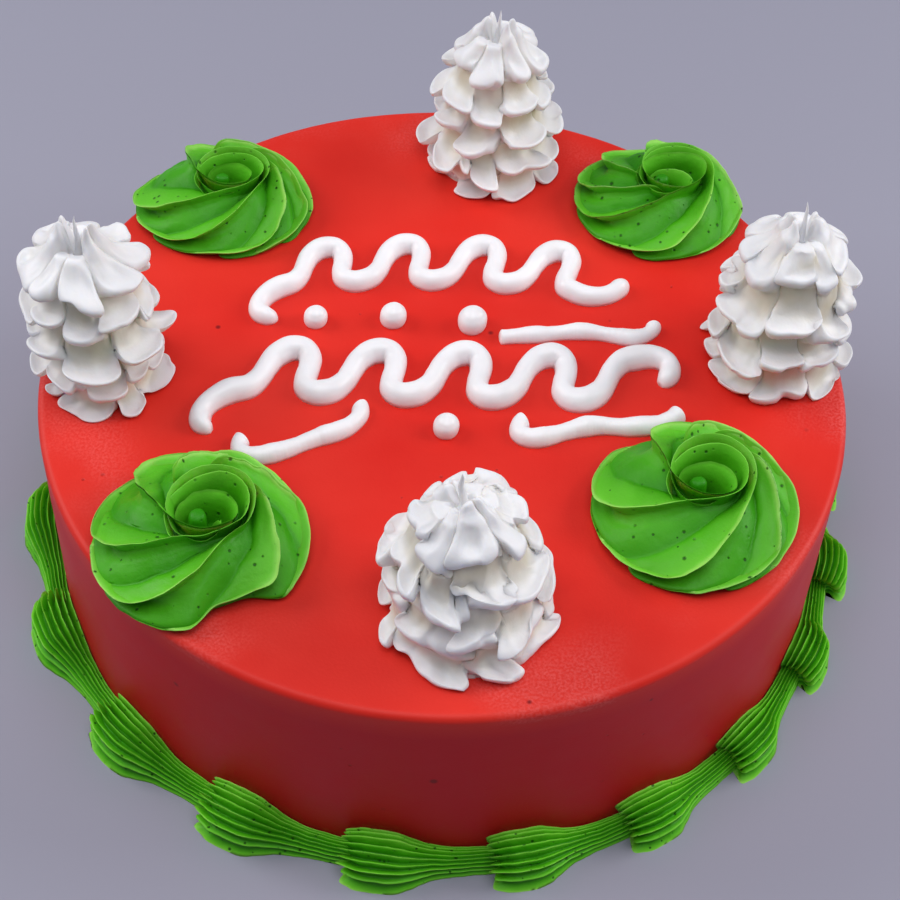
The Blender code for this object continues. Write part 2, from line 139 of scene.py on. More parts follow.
TOWER_SWAY, TOWER_SWAY_SCALE = 0.9, 1.7
TOWER_SAG, TOWER_SAG_SCALE = 0.55, 1.9
TOWER_SKIN_LENGTH = 3.2
TOWER_UNEVEN = 0.28
TOWER_SHOULDER = 0.88
TOWER_FOOT = 0.9
TOWER_WIDEN = 0.12
TOWER_PUSH = ((0.0, 0.0), (0.14, 0.02), (0.27, 0.14), (0.38, 0.44), (0.48, 0.82), (0.55, 0.97), (0.60, 1.0),
              (0.64, 0.96), (0.70, 0.70), (0.82, 0.22), (1.0, 0.0))
TOWER_DROP = ((0.0, 0.10), (0.14, 0.58), (0.27, 0.90), (0.38, 0.94), (0.48, 0.72), (0.55, 0.50), (0.60, 0.48),
              (0.65, 0.60), (0.71, 0.78), (0.84, 0.62), (1.0, 0.10))
TOWER_OUTLINE = ((0.0, 0.48), (0.12, 0.70), (0.28, 0.85), (0.50, 0.90), (0.72, 0.92), (0.88, 0.90), (1.0, 0.84))
TOWER_LEVEL = ((0.0, 0.0), (0.20, 0.225), (0.40, 0.445), (0.60, 0.65), (0.80, 0.835), (1.0, 1.0))
CROWN_LEAST_PEAK, CROWN_HIGH_PEAK = 0.02, 0.13
CROWN_CREASE, CROWN_SLUMP = 0.15, 0.16
CROWN_POINT_ROUND, CROWN_PARTING, CROWN_UNEVEN = 0.4, 0.6, 0.2
CROWN_REACH = ((0.0, 0.0), (0.10, 0.022), (0.34, 0.045), (0.48, 0.070), (0.58, 0.12), (0.72, 0.24), (0.84, 0.34),
               (1.0, 0.44))
CROWN_RISE = ((0.0, 1.0), (0.12, 0.95), (0.34, 0.86), (0.48, 0.79), (0.58, 0.77), (0.72, 0.81), (0.84, 0.83),
              (1.0, 0.84))
CROWN_PEAK = ((0.0, 0.0), (0.50, 0.0), (0.58, 0.22), (0.65, 0.72), (0.69, 1.0), (0.73, 0.98), (0.80, 0.66),
              (0.90, 0.40), (1.0, 0.30))

# Border shells: the columns end the arch and the side that faces the cake, and the rows end the mouth and the skin
SHELL_COUNT = 20
SHELL_SHEET = (116, 72)
SHELL_COLUMN_ENDS = (0.86, 0.93)
SHELL_ROWS = (0.03, 0.98)
SHELL_ROUGH = ((130.0, 0.00040), (420.0, 0.00014))
SHELL_FIRST_ANGLE = -158.3
SHELL_SWAY = 7.0
SHELL_SWAY_PHASE = -8.0
SHELL_SEED_STEP = 1.37
SHELL_OVERLAP = 0.0012
SHELL_HEAD_WIDTH = 0.0120
SHELL_TAIL_WIDTH = 0.0057
SHELL_HEAD_HEIGHT = 0.0144
SHELL_TAIL_HEIGHT = 0.0054
SHELL_OFF_SIDE = 0.0002
SHELL_RIDGES = 8
SHELL_CREST_ROUND = 0.75
SHELL_ARCH = 0.72
SHELL_FULL = 0.8
SHELL_ROW_BUNCH = 1.25
SHELL_GROOVE, SHELL_GROOVE_UNEVEN, SHELL_MOUTH_GROOVE = 0.23, 0.35, 0.10
SHELL_UNEVEN = 0.06
SHELL_LAP, SHELL_LAP_END, SHELL_LAP_GROWTH = 0.0030, 0.22, 1.6
SHELL_LAP_LEAST, SHELL_LAP_TEETH, SHELL_LAP_UNEVEN = 0.75, 1.1, 0.4
SHELL_MOUTH, SHELL_MOUTH_END = 1.16, 0.012
SHELL_SWELL = ((0.0, 0.24), (0.03, 0.60), (0.08, 0.86), (0.15, 1.0), (0.25, 0.97), (0.38, 0.66), (0.54, 0.22),
               (0.72, 0.04), (1.0, 0.0))

# Piped lines: middle, tilt and arch in degrees, length, waves, swing of the waves in degrees, curl of the two ends
# in degrees, points along the middle and along each curl, width
Line = namedtuple("Line", "name x y tilt arch length waves swing first_curl last_curl count curl_count width")
LINES = (
    Line("wave_upper", -0.0030, 0.0400, 2, 20, 0.158, 4.0, 84, -170, 130, 44, 8, 0.0058),
    Line("wave_lower", -0.0020, -0.0005, 1, 0, 0.192, 4.5, 84, -150, -160, 50, 8, 0.0064),
    Line("flourish_upper", 0.0370, 0.0166, 1, 10, 0.026, 1.0, 8, 0, 110, 8, 5, 0.0046),
    Line("flourish_left", -0.0362, -0.0262, 20, 0, 0.016, 0.5, 16, 130, 110, 5, 7, 0.0050),
    Line("flourish_right", 0.0384, -0.0174, 12, 0, 0.026, 1.0, 14, 150, 50, 8, 6, 0.0052),
)
LINE_SHEET = (28, 520)
LINE_STEPS = 700
LINE_ROUGH = ((160.0, 0.00018),)
LINE_END = 0.022
LINE_FULL = 0.8
LINE_SLANT = 0.30
LINE_RISE = 0.74
LINE_SWELL = 0.09
LINE_WOBBLE = 0.06
LINE_CURL_STEP = 0.66
LINE_CURL_TIGHTEN = 0.25
Drop = namedtuple("Drop", "name x y radius seed")
DROPS = (
    Drop("drop_1", -0.0145, 0.0195, 0.0036, 1.0),
    Drop("drop_2", 0.0070, 0.0188, 0.0040, 2.0),
    Drop("drop_3", -0.0355, 0.0180, 0.0032, 3.0),
    Drop("drop_4", 0.0010, -0.0190, 0.0034, 4.0),
)
DROP_SHEET = (48, 40)
DROP_ROUGH = ((190.0, 0.0002),)
DROP_RISE = 0.85
DROP_LEAN = 0.0003
DROP_REACH = ((0.0, 0.0), (0.12, 0.18), (0.40, 0.72), (0.66, 1.0), (0.84, 0.94), (0.92, 0.80), (1.0, 0.0))
DROP_UP = ((0.0, 1.0), (0.12, 0.97), (0.40, 0.78), (0.66, 0.36), (0.84, 0.08), (0.92, 0.0), (1.0, 0.0))

CLOUD_RANGE = (0.3, 0.7)

# Stage: each lamp has its place, power, size and colour; the camera's pitch, yaw and roll are in radians
FLOOR_HALF = 4.0
FLOOR_COLOUR = (0.300, 0.300, 0.375)
ROOM_COLOUR = (0.80, 0.83, 1.0)
ROOM_STRENGTH = 0.22
LAMPS = (
    ("left", (-0.75, 0.20, 0.60), 4.6, 0.55, (1.0, 0.97, 0.95)),
    ("right", (0.80, 0.15, 0.55), 5.0, 0.55, (1.0, 0.97, 0.95)),
    ("above", (0.0, -0.20, 1.15), 6.6, 0.80, (0.97, 0.98, 1.0)),
)
LAMP_TARGET = (0.0, 0.0, 0.05)
CAMERA_PLACE = (0.0, -0.35482, 0.46255)
CAMERA_PITCH, CAMERA_YAW, CAMERA_ROLL = 0.87896, 0.004074, 0.0445503
CAMERA_LENS, CAMERA_SENSOR = 80.0, 36.0
CAMERA_SHIFT = 4 / 900
CAMERA_NEAR = 0.01


def add_socket(tree, label, kind="Float", in_out="INPUT", value=None):
    """Gives a tree a named input or output."""
    made = tree.interface.new_socket(label, in_out=in_out, socket_type=f"NodeSocket{kind}")
    if value is not None:
        made.default_value = value


def feed(tree, socket, value):
    """Links a socket to the one that it is fed from, or sets it to a plain value."""
    if isinstance(value, Value):
        value = value.socket
    if isinstance(value, bpy.types.NodeSocket):
        tree.links.new(value, socket)
    elif socket.type == "RGBA":
        socket.default_value = (*value, 1.0)
    else:
        socket.default_value = value


def add_node(tree, kind, inputs=None, **settings):
    """Adds a node with its settings, and feeds its inputs."""
    made = tree.nodes.new(kind)
    for name, value in settings.items():
        setattr(made, name, value)
    for key, value in (inputs or {}).items():
        feed(tree, made.inputs[key], value)
    return made


def add_maths(tree, operation, *values, **settings):
    """Adds a calculation, and gives the socket of its result."""
    return add_node(tree, "ShaderNodeMath", dict(enumerate(values)), operation=operation, **settings).outputs[0]


class Value:
    """A number that varies over a form, held by a socket of the form's tree."""

    def __init__(self, form, socket):
        self.form = form
        self.socket = socket

    def __add__(self, other):
        return self.form.maths("ADD", self, other)

    def __sub__(self, other):
        return self.form.maths("SUBTRACT", self, other)

    def __mul__(self, other):
        return self.form.maths("MULTIPLY", self, other)

    def __truediv__(self, other):
        return self.form.maths("DIVIDE", self, other)

    def __pow__(self, other):
        return self.form.maths("POWER", self, other)

    def __mod__(self, other):
        return self.form.maths("FLOORED_MODULO", self, other)

    def __rsub__(self, other):
        return self.form.maths("SUBTRACT", other, self)

    __radd__ = __add__
    __rmul__ = __mul__

    def sin(self):
        return self.form.maths("SINE", self)

    def cos(self):
        return self.form.maths("COSINE", self)

    def floor(self):
        return self.form.maths("FLOOR", self)

    def fract(self):
        return self.form.maths("FRACT", self)

    def above(self, other):
        return self.form.maths("GREATER_THAN", self, other)

    def most(self, other):
        return self.form.maths("MINIMUM", self, other)

    def least(self, other):
        return self.form.maths("MAXIMUM", self, other)

    def clamp(self):
        return self.most(1.0).least(0.0)

    def part(self, start, end):
        """How far the value has come from start to end, from 0 to 1."""
        return ((self - start) / (end - start)).clamp()

    def smooth(self, start, end):
        """Soft step from 0 at start to 1 at end."""
        return Value(self.form, self.form.node(
            "ShaderNodeMapRange", {"Value": self, "From Min": start, "From Max": end},
            interpolation_type="SMOOTHSTEP").outputs[0])

    def mix(self, other, share):
        return self + (other - self) * share


class Form:
    """A Geometry Nodes tree that bends a sheet of columns and rows into a closed form, with named inputs."""

    def __init__(self, name, sheet, *labels):
        self.tree = bpy.data.node_groups.new(name, "GeometryNodeTree")
        add_socket(self.tree, "Geometry", "Geometry", "OUTPUT")
        add_socket(self.tree, "Path", "Geometry")
        for label in labels:
            add_socket(self.tree, label)
        add_socket(self.tree, "Finish", "Material")
        self.source = self.node("NodeGroupInput")
        self.given = [Value(self, self.source.outputs[label]) for label in labels]
        columns, rows = sheet
        grid = self.node("GeometryNodeMeshGrid", {"Vertices X": columns + 1, "Vertices Y": rows + 1})
        self.sheet = grid.outputs["Mesh"]
        x, y, _ = self.split(self.place())
        self.around, self.along = x + 0.5, y + 0.5

    def node(self, kind, inputs=None, **settings):
        return add_node(self.tree, kind, inputs, **settings)

    def maths(self, operation, *values):
        return Value(self, add_maths(self.tree, operation, *values))

    def read(self, stations, value):
        """Value read between the stations of a smooth curve."""
        made = self.node("ShaderNodeFloatCurve", {"Value": value})
        made.mapping.use_clip = False
        points = made.mapping.curves[0].points
        points[0].location, points[1].location = stations[0], stations[-1]
        for place, level in stations[1:-1]:
            points.new(place, level)
        for point in points:
            point.handle_type = "AUTO_CLAMPED"
        made.mapping.update()
        return Value(self, made.outputs[0])

    def vector(self, x, y, z):
        return Value(self, self.node("ShaderNodeCombineXYZ", {0: x, 1: y, 2: z}).outputs[0])

    def split(self, vector):
        """The three parts of a vector."""
        return [Value(self, socket) for socket in self.node("ShaderNodeSeparateXYZ", {0: vector}).outputs]

    def scaled(self, vector, amount):
        """A vector made longer or shorter."""
        return self.node("ShaderNodeVectorMath", {0: vector, "Scale": amount}, operation="SCALE").outputs[0]

    def noise(self, place, scale, seed, detail=1.0):
        return self.node("ShaderNodeTexNoise", {"Vector": place, "W": seed, "Scale": scale, "Detail": detail},
                         noise_dimensions="4D").outputs

    def ripple(self, place, scale, seed, detail=1.0):
        """Smooth noise about 0."""
        return (Value(self, self.noise(place, scale, seed, detail)[0]) - 0.5) * 2.0

    def place(self):
        return self.node("GeometryNodeInputPosition").outputs[0]

    def uneven(self, first, second):
        """Steady draw between -1 and 1 for a place in a pattern."""
        return (first * DRAW_STEPS[0] + second * DRAW_STEPS[1] + DRAW_START).sin()

    def move(self, geometry, **where):
        """Moves the skin to a Position or by an Offset."""
        return self.node("GeometryNodeSetPosition", {"Geometry": geometry, **where}).outputs[0]

    def roughen(self, geometry, layers, seed, strength=1.0):
        """Pushes the skin this way and that by layers of smooth noise."""
        for number, (scale, reach) in enumerate(layers):
            colour = self.noise(self.place(), scale, seed + LAYER_SEED_STEP * number)[1]
            push = self.node("ShaderNodeVectorMath", {0: colour, 1: (0.5, 0.5, 0.5)}, operation="SUBTRACT").outputs[0]
            geometry = self.move(geometry, Offset=self.scaled(push, strength * (reach * 2.0)))
        return geometry

    def swell(self, geometry, amount):
        """Pushes the skin in or out by a value."""
        normal = self.node("GeometryNodeInputNormal").outputs[0]
        return self.move(geometry, Offset=self.scaled(normal, amount))

    def keep_up(self, geometry):
        """Keeps the skin from reaching below the ground."""
        x, y, z = self.split(self.place())
        return self.move(geometry, Position=self.vector(x, y, z.least(0.0)))

    def mark(self, geometry, name, value):
        """Keeps a value on the skin for the finish to read."""
        return self.node("GeometryNodeStoreNamedAttribute", {"Geometry": geometry, "Name": name, "Value": value},
                         data_type="FLOAT", domain="POINT").outputs[0]

    def finish(self, geometry):
        """Ends the tree: seam and poles welded, smooth faces, real geometry, and its finish."""
        last = self.node("GeometryNodeMergeByDistance", {"Geometry": geometry, "Distance": WELD}).outputs[0]
        for kind in ("GeometryNodeSetShadeSmooth", "GeometryNodeRealizeInstances", "GeometryNodeSetMaterial"):
            made = self.node(kind, {"Geometry": last})
            last = made.outputs["Geometry"]
        feed(self.tree, made.inputs["Material"], self.source.outputs["Finish"])
        self.node("NodeGroupOutput", {0: last})

    def grow(self, name, finish, slot, replaced, values, path=None):
        """A plain mesh grown with the values of the named inputs, standing for its node."""
        carrier = bpy.data.objects.new(name, path or bpy.data.meshes.new(name))
        bpy.context.scene.collection.objects.link(carrier)
        modifier = carrier.modifiers.new(self.tree.name, "NODES")
        modifier.node_group = self.tree
        inputs = {label: float(value) for label, value in values.items()}
        inputs["Finish"] = finish
        for item in self.tree.interface.items_tree:
            if item.name in inputs:
                modifier[item.identifier] = inputs[item.name]
        graph = bpy.context.evaluated_depsgraph_get()
        mesh = bpy.data.meshes.new_from_object(carrier.evaluated_get(graph))
        bpy.data.objects.remove(carrier, do_unlink=True)
        mesh.name = name
        face_outwards(mesh)
        piece = bpy.data.objects.new(name, mesh)
        bpy.context.scene.collection.objects.link(piece)
        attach(piece, "root")
        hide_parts(replaced)


def face_outwards(mesh):
    """Turns the whole skin round where it grew inside out."""
    mesh.calc_loop_triangles()
    places = np.zeros(len(mesh.vertices) * 3)
    corners = np.zeros(len(mesh.loop_triangles) * 3, dtype=np.int32)
    mesh.vertices.foreach_get("co", places)
    mesh.loop_triangles.foreach_get("vertices", corners)
    a, b, c = places.reshape(-1, 3)[corners.reshape(-1, 3)].transpose(1, 0, 2)
    if np.einsum("ij,ij->", a, np.cross(b, c)) < 0.0:
        mesh.flip_normals()


# Finishes


def air_pits_group():
    """Small scattered air pits with flat floors: a mask that is 1 in a pit."""
    least_size, flatness = 0.06, 1.8
    tree = bpy.data.node_groups.new("air_pits", "ShaderNodeTree")
    add_socket(tree, "Vector", "Vector")
    for label, value in (("Scale", 300.0), ("Size", 0.2), ("Share", 0.2)):
        add_socket(tree, label, value=value)
    add_socket(tree, "Pit", in_out="OUTPUT")
    given = add_node(tree, "NodeGroupInput").outputs
    cells = add_node(tree, "ShaderNodeTexVoronoi", {"Vector": given["Vector"], "Scale": given["Scale"]}).outputs
    draw = add_node(tree, "ShaderNodeSeparateColor", {0: cells["Color"]}).outputs
    picked = add_maths(tree, "LESS_THAN", draw[0], given["Share"])
    reach = add_maths(tree, "MULTIPLY_ADD", draw[1], given["Size"], least_size)
    depth = add_node(tree, "ShaderNodeMapRange", {
        "Value": cells["Distance"], "From Min": 0.0, "From Max": reach, "To Min": 1.0, "To Max": 0.0},
        interpolation_type="SMOOTHSTEP").outputs[0]
    pit = add_maths(tree, "MULTIPLY", depth, picked)
    add_node(tree, "NodeGroupOutput", {"Pit": add_maths(tree, "MULTIPLY", pit, flatness, use_clamp=True)})
    return tree


def mottle_group():
    """Soft cloudy variation and a fine grain."""
    tree = bpy.data.node_groups.new("cream_mottle", "ShaderNodeTree")
    add_socket(tree, "Vector", "Vector")
    layers = (("Cloud", 40.0, 3.0), ("Grain", 900.0, 4.0))
    for label, scale, _ in layers:
        add_socket(tree, f"{label} scale", value=scale)
    for label, *_ in layers:
        add_socket(tree, label, in_out="OUTPUT")
    given = add_node(tree, "NodeGroupInput").outputs
    noises = {label: add_node(tree, "ShaderNodeTexNoise", {
        "Vector": given["Vector"], "Scale": given[f"{label} scale"], "Detail": detail}).outputs[0]
        for label, _, detail in layers}
    add_node(tree, "NodeGroupOutput", noises)
    return tree


AIR_PITS = air_pits_group()
MOTTLE = mottle_group()


class Finish:
    """A material being mixed: small helpers around its nodes."""

    def __init__(self, name):
        self.material = bpy.data.materials.new(name)
        self.material.use_nodes = True
        self.tree = self.material.node_tree
        self.shader = self.tree.nodes["Principled BSDF"]
        self.place = self.node("ShaderNodeTexCoord")["Object"]

    def node(self, kind, inputs=None, **settings):
        return add_node(self.tree, kind, inputs, **settings).outputs

    def mottle(self, cloud_scale, grain_scale):
        return self.node("ShaderNodeGroup", {
            "Vector": self.place, "Cloud scale": cloud_scale, "Grain scale": grain_scale}, node_tree=MOTTLE)

    def pits(self, scale, size, share):
        return self.node("ShaderNodeGroup", {
            "Vector": self.place, "Scale": scale, "Size": size, "Share": share}, node_tree=AIR_PITS)[0]

    def attribute(self, name):
        return self.node("ShaderNodeAttribute", attribute_name=name)["Fac"]

    def height(self):
        """How high a place is above the underside."""
        return self.node("ShaderNodeSeparateXYZ", {0: self.place})[2]

    def shift(self, value, low, high, to_low, to_high):
        return self.node("ShaderNodeMapRange", {
            "Value": value, "From Min": low, "From Max": high, "To Min": to_low, "To Max": to_high})[0]

    def drift(self, cloud, low, high):
        """A value that drifts from low to high with the clouds."""
        return self.shift(cloud, *CLOUD_RANGE, low, high)

    def maths(self, operation, *values):
        return add_maths(self.tree, operation, *values)

    def times(self, first, second):
        return self.maths("MULTIPLY", first, second)

    def ramp(self, value, *stops):
        made = add_node(self.tree, "ShaderNodeValToRGB", {0: value})
        elements = made.color_ramp.elements
        while len(elements) < len(stops):
            elements.new(0.5)
        for element, (place, colour) in zip(elements, stops):
            element.position = place
            element.color = (*colour, 1.0)
        return made.outputs[0]

    def mix(self, share, first, second):
        return self.node("ShaderNodeMix", {0: share, 6: first, 7: second}, data_type="RGBA")[2]

    def bump(self, height, distance, strength):
        return self.node("ShaderNodeBump", {"Distance": distance, "Strength": strength, "Height": height})[0]

    def set(self, **values):
        for label, value in values.items():
            feed(self.tree, self.shader.inputs[label.replace("_", " ")], value)
        return self.material


def red_icing():
    """Smooth bright red icing: cloudy tint, fine spatula streaks, small pits and a few dark specks, with painted shade
    on the side and in the pits, and painted sheen on worn patches near the top's edge.
    """
    deep, bright, streaked = (0.650, 0.014, 0.007), (0.725, 0.026, 0.013), (0.80, 0.04, 0.03)
    # the wall colour is painted shade for the side; the next colour is the pale pink of worn icing with painted sheen
    wall, worn_pink_and_sheen = (0.560, 0.001, 0.008), (0.86, 0.14, 0.13)
    # the first colour is painted shade for the air pits; the specks are the icing's own dark specks
    pit_painted_shade, specked = (0.30, 0.004, 0.004), (0.20, 0.002, 0.004)
    wall_top, top = 0.056, 0.064
    f = Finish("red_icing")
    mottle = f.mottle(cloud_scale=22.0, grain_scale=1400.0)
    pits = f.pits(scale=210.0, size=0.10, share=0.10)
    specks = f.pits(scale=95.0, size=0.09, share=0.26)
    streaks = f.attribute("streak")
    wear_and_sheen = f.attribute("wear_and_sheen")
    base = f.ramp(mottle["Cloud"], (0.30, deep), (0.72, bright))
    base = f.mix(f.shift(streaks, 0.3, 1.0, 0.0, 0.16), base, streaked)
    # painted shade: below wall_top the side is darker than the top
    base = f.mix(f.shift(f.height(), wall_top, top, 1.0, 0.0), base, wall)
    grain = f.shift(mottle["Grain"], 0.40, 0.62, 0.15, 1.0)
    # worn patches: paler pink, grainy icing with painted sheen
    base = f.mix(f.times(f.times(wear_and_sheen, grain), 0.75), base, worn_pink_and_sheen)
    # painted shade in the air pits
    base = f.mix(f.times(pits, 0.5), base, pit_painted_shade)
    base = f.mix(f.times(specks, 0.9), base, specked)
    grain = f.times(mottle["Grain"], f.shift(wear_and_sheen, 0.0, 1.0, 0.25, 1.6))
    height = f.maths("ADD", f.maths("SUBTRACT", grain, pits), f.times(streaks, 0.35))
    return f.set(Base_Color=base, Roughness=f.drift(mottle["Cloud"], 0.44, 0.56),
                 Normal=f.bump(height, distance=0.0003, strength=0.55), Specular_IOR_Level=0.28)


def green_cream(name, dark, middle, light, edge, pit_scale):
    """Soft green cream: saturated and darkened by painted shade in its channels, lighter on its lips by painted light,
    with a pale painted highlight on its thin rims, and air pits.
    """
    pit_painted_shade = (0.010, 0.080, 0.002)
    f = Finish(name)
    mottle = f.mottle(cloud_scale=90.0, grain_scale=1500.0)
    drag = f.mottle(cloud_scale=430.0, grain_scale=1900.0)
    pits = f.pits(scale=pit_scale, size=0.26, share=0.62)
    rise = f.maths("ADD", f.attribute("rise"), f.drift(mottle["Cloud"], -0.06, 0.06))
    # dark is painted shade in the channels, light is painted light on the lips, edge is a painted highlight on the thin
    # rims
    base = f.ramp(rise, (0.0, dark), (0.35, middle), (0.78, light), (0.97, edge))
    # painted shade in the air pits
    base = f.mix(f.times(pits, 0.9), base, pit_painted_shade)
    height = f.maths("SUBTRACT", f.times(mottle["Grain"], 0.2), pits)
    height = f.maths("ADD", height, f.times(drag["Cloud"], 0.7))
    return f.set(Base_Color=base, Roughness=f.drift(mottle["Cloud"], 0.40, 0.55),
                 Normal=f.bump(height, distance=0.0004, strength=0.6), Specular_IOR_Level=0.22,
                 Subsurface_Weight=0.12, Subsurface_Scale=0.002, Subsurface_Radius=(0.5, 1.0, 0.2))


def white_cream():
    """Whipped cream: nearly white, with painted shade that makes it darker and a little yellow deep between the petals.
    """
    deepest_painted_shade, deep, middle, lip = (0.62, 0.53, 0.34), (0.76, 0.72, 0.63), (0.80, 0.79, 0.78), (0.79, 0.79, 0.81)
    f = Finish("white_cream")
    mottle = f.mottle(cloud_scale=70.0, grain_scale=1300.0)
    rise = f.maths("ADD", f.attribute("rise"), f.drift(mottle["Cloud"], -0.08, 0.08))
    # painted shade: darker and yellower deep between the petals
    base = f.ramp(rise, (0.0, deepest_painted_shade), (0.16, deep), (0.45, middle), (1.0, lip))
    return f.set(Base_Color=base, Roughness=f.drift(mottle["Cloud"], 0.38, 0.52),
                 Normal=f.bump(mottle["Grain"], distance=0.0003, strength=0.18),
                 Subsurface_Weight=0.35, Subsurface_Scale=0.004, Subsurface_Radius=(1.0, 0.8, 0.6))


def white_piping():
    """Piped white icing: smooth, with the faint flow marks of the pipe."""
    dull, clean = (0.83, 0.82, 0.84), (0.89, 0.88, 0.90)
    f = Finish("white_piping")
    mottle = f.mottle(cloud_scale=110.0, grain_scale=1500.0)
    return f.set(Base_Color=f.ramp(mottle["Cloud"], (0.3, dull), (0.7, clean)),
                 Roughness=f.drift(mottle["Cloud"], 0.30, 0.44),
                 Normal=f.bump(mottle["Grain"], distance=0.0002, strength=0.15),
                 Subsurface_Weight=0.2, Subsurface_Scale=0.002, Subsurface_Radius=(1.0, 0.8, 0.7))


# Forms


def cake_form():
    """Iced body: a flat, faintly worked top, a tight round edge, an upright side and a closed underside."""
    form = Form("iced_body", CAKE_SHEET, "Radius", "Height", "Edge round", "Foot round", "Seed")
    radius, height, edge, foot, seed = form.given
    top_end, edge_end, side_end, foot_end = CAKE_ROWS
    top = form.along.part(0.0, top_end)
    bend = form.along.part(top_end, edge_end) * (math.pi / 2)
    down = form.along.part(edge_end, side_end)
    foot_bend = form.along.part(side_end, foot_end)
    under = form.along.part(foot_end, 1.0)
    reach = (radius - edge) * top + edge * bend.sin() - foot * foot_bend - (radius - foot) * under
    rise = height - edge * (1.0 - bend.cos()) - (height - edge - foot) * down - foot * foot_bend
    angle = form.around * TURN
    x, y = reach * angle.cos(), reach * angle.sin()

    # spatula streaks, across the top and round the side, and the worn patches towards the top's edge, which carry
    # painted sheen as well as wear
    ring = form.vector(angle.cos() * BAND_LENGTH, angle.sin() * BAND_LENGTH, rise * BAND_STEP)
    sweep = form.ripple(form.vector(x, y * SWEEP_STRETCH, 0.0), SWEEP_SCALE, seed, 3.0)
    bands = form.ripple(ring, BAND_SCALE, seed + 3.0, 3.0)
    patch = form.ripple(form.vector(x, y, 0.0), WEAR_AND_SHEEN_SCALE, seed + 6.0, 3.0)
    skin = form.mark(form.sheet, "wear_and_sheen", top.smooth(*WEAR_AND_SHEEN_EDGE) * patch.smooth(*WEAR_AND_SHEEN_PATCH) * (1.0 - down.above(0.02)))
    skin = form.mark(skin, "streak", sweep.mix(bands, down.above(0.001)) * 0.5 + 0.5)
    skin = form.move(skin, Position=form.vector(x, y, rise))
    waves, fine = (form.ripple(form.place(), scale, seed + float(number), 2.0) * depth
                   for number, (scale, depth) in enumerate(CAKE_WAVES))
    form.finish(form.keep_up(form.swell(skin, waves + fine)))
    return form


def rosette_form():
    """Rose-like swirl: broad petals with leaning rims wound round thin nested walls and a sunken eye."""
    arm_labels = [f"Arm {number + 1}" for number in range(ROSETTE_ARMS)]
    form = Form("cream_rosette", ROSETTE_SHEET, "Middle X", "Middle Y", "Half width", "Half depth", "Height",
                "Shift X", "Shift Y", "Dent side", "Dent", "Raggedness", "Seed", *arm_labels)
    x, y, half_width, half_depth, height, shift_x, shift_y, dent_side, dent, ragged, seed, *arms = form.given
    skin_end, skirt_end = ROSETTE_ROWS
    row = form.along.part(0.0, skin_end)
    skirt = form.along.part(skin_end, skirt_end)
    under = form.along.part(skirt_end, 1.0)

    # the arm, how far across it, and the arm whose rim is nearest
    place = form.around * float(ROSETTE_ARMS)
    arm = (place + NUDGE).floor()
    even = place - arm
    across = (even - (even * TURN).sin() * ROSETTE_BROADEN).clamp()
    nearest = (arm + across.above(ROSETTE_RIM_PLACE)) % float(ROSETTE_ARMS)

    # the rim between two arms, torn and tufted, and none where an arm starts outside the eye
    short = nearest.above(ROSETTE_LONG_ARMS - 0.5) * (1.0 - form.read(ROSETTE_SHORT_ARM, row))
    rim = form.read(ROSETTE_THIN_RIM, across).mix(form.read(ROSETTE_BROAD_RIM, across), row.smooth(0.44, 0.60))
    rim = rim * (1.0 - short)
    line = form.vector(nearest * ROSETTE_TEAR_STEP, row * ROSETTE_TEAR_LENGTH, seed)
    torn = form.ripple(line, ROSETTE_TEAR_SCALE, seed, 4.0) * ragged
    tuft = form.ripple(line, ROSETTE_TUFT_SCALE, seed + 2.0, 2.0).smooth(0.30, 0.75) * ragged

    # the angle: the long arms evenly round the eye, and every arm in its own place outside it
    spot = arm + across
    outside = arms[0]
    for number, (this_arm, next_arm) in enumerate(zip(arms, (*arms[1:], arms[0] + TURN))):
        outside = outside + (next_arm - this_arm) * (spot - float(number)).clamp()
    last = ROSETTE_LONG_ARMS - 1.0
    turned = spot.most(last) + (spot - last).least(0.0) / (ROSETTE_ARMS - last)
    inside = arms[0] + turned * (TURN / ROSETTE_LONG_ARMS)
    angle = inside.mix(outside, row.smooth(0.34, 0.56)) - form.read(ROSETTE_TURN, row) * TURN
    angle = angle + torn * row * ROSETTE_TEAR_TURN

    notch = form.read(ROSETTE_NOTCH_CURVE, across) * row ** 3.0 * ROSETTE_NOTCH
    dented = (angle - dent_side).cos().smooth(0.88, 1.0) * dent * row ** 2.0
    wall = form.read(ROSETTE_WALL, row)
    raised = wall * rim
    reach = form.read(ROSETTE_RADIUS, row) * (1.0 - notch) * (1.0 - dented)
    reach = reach + raised * ROSETTE_LEAN + wall * rim ** 4.0 * ROSETTE_RIM_LEAN
    uneven = 1.0 + form.uneven(arm, 3.0) * ROSETTE_UNEVEN
    rise = form.read(ROSETTE_FLOOR, row) + raised * (
        uneven + torn * rim ** 3.0 * ROSETTE_TEAR + tuft * rim ** 8.0 * ROSETTE_TUFT)
    shrink = (1.0 - (skirt ** ROSETTE_SKIRT_ROUND) * (1.0 - ROSETTE_FOOT)) * (1.0 - under)
    shift = form.read(ROSETTE_SHIFT, row)
    out_x = (shift_x * shift + reach * angle.cos()) * shrink
    out_y = (shift_y * shift + reach * angle.sin()) * shrink
    # painted light and shade for the finish: rims and lips lighter; channels, the sunken eye and the skirt darker
    lip = across.smooth(0.50, 0.60) * row.smooth(0.50, 0.62)
    painted_light_tone = (rim * 0.62 + rim ** 8.0 * 0.16 + lip * 0.20 + row.smooth(0.42, 0.80) * 0.14 + 0.04) * (1.0 - skirt)
    skin = form.mark(form.sheet, "rise", painted_light_tone * row.smooth(0.02, 0.10))
    skin = form.move(skin, Position=form.vector(x + half_width * out_x, y + half_depth * out_y,
                                                rise * height * (1.0 - skirt) + DECK))
    form.finish(form.roughen(skin, ROSETTE_ROUGH, seed))
    return form


